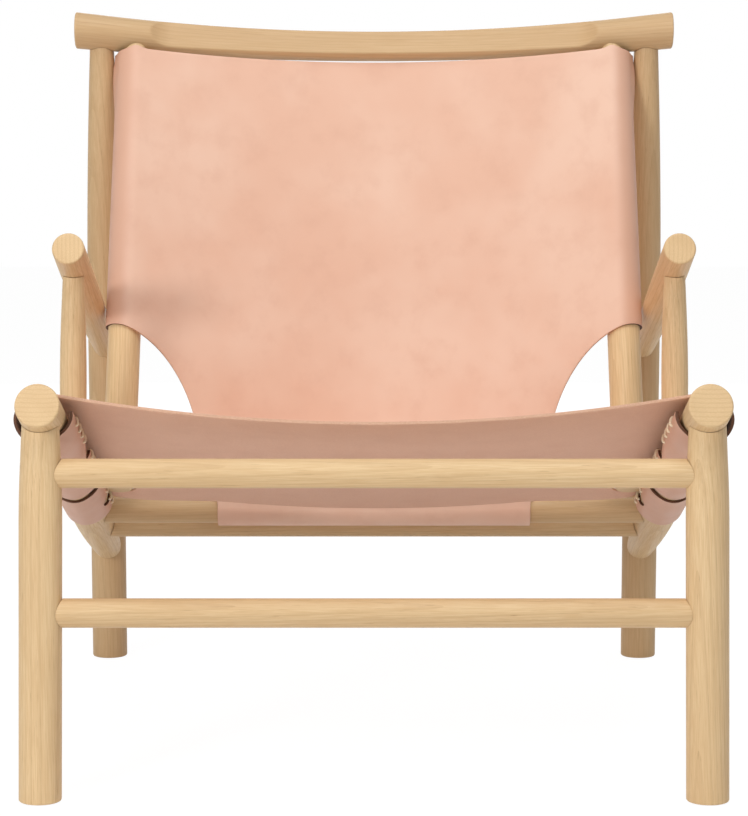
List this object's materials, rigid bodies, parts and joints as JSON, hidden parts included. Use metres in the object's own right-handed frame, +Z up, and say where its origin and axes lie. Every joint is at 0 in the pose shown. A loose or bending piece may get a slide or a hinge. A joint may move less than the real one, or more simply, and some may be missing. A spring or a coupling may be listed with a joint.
{
  "type": "leather sling lounge chair",
  "caption": "Low lounge chair with a frame of round oak dowels, a leather seat slung between sloping side rails and a leather back slung between leaning poles.",
  "frame": {"origin": "on the floor, under the middle of the chair", "axes": "+X to the right seen from in front, +Y from the front to the back, +Z up"},
  "size_m": [0.7352, 0.8048, 0.8234],
  "materials": {
    "oak": "clear matt oil",
    "leather": "natural vegetable tanned",
    "steel_pin": "ground",
    "felt": "pressed felt",
    "cord": "waxed linen thread"
  },
  "bodies": {
    "root": {"front_leg_left": "oak", "rear_post_left": "oak", "side_rail_left": "oak", "arm_post_left": "oak", "armrest_left": "oak", "back_pole_left": "oak", "front_leg_right": "oak", "rear_post_right": "oak", "side_rail_right": "oak", "arm_post_right": "oak", "armrest_right": "oak", "back_pole_right": "oak", "crest_rail": "oak", "front_rail_upper": "oak", "front_rail_lower": "oak", "rear_rail_front": "oak", "rear_rail_back": "oak", "seat_sling": "leather", "back_sling": "leather", "pole_pin_left": "steel_pin", "pole_pin_right": "steel_pin", "floor_glide_front_left": "felt", "floor_glide_front_right": "felt", "floor_glide_rear_left": "felt", "floor_glide_rear_right": "felt"}
  },
  "joints": []
}
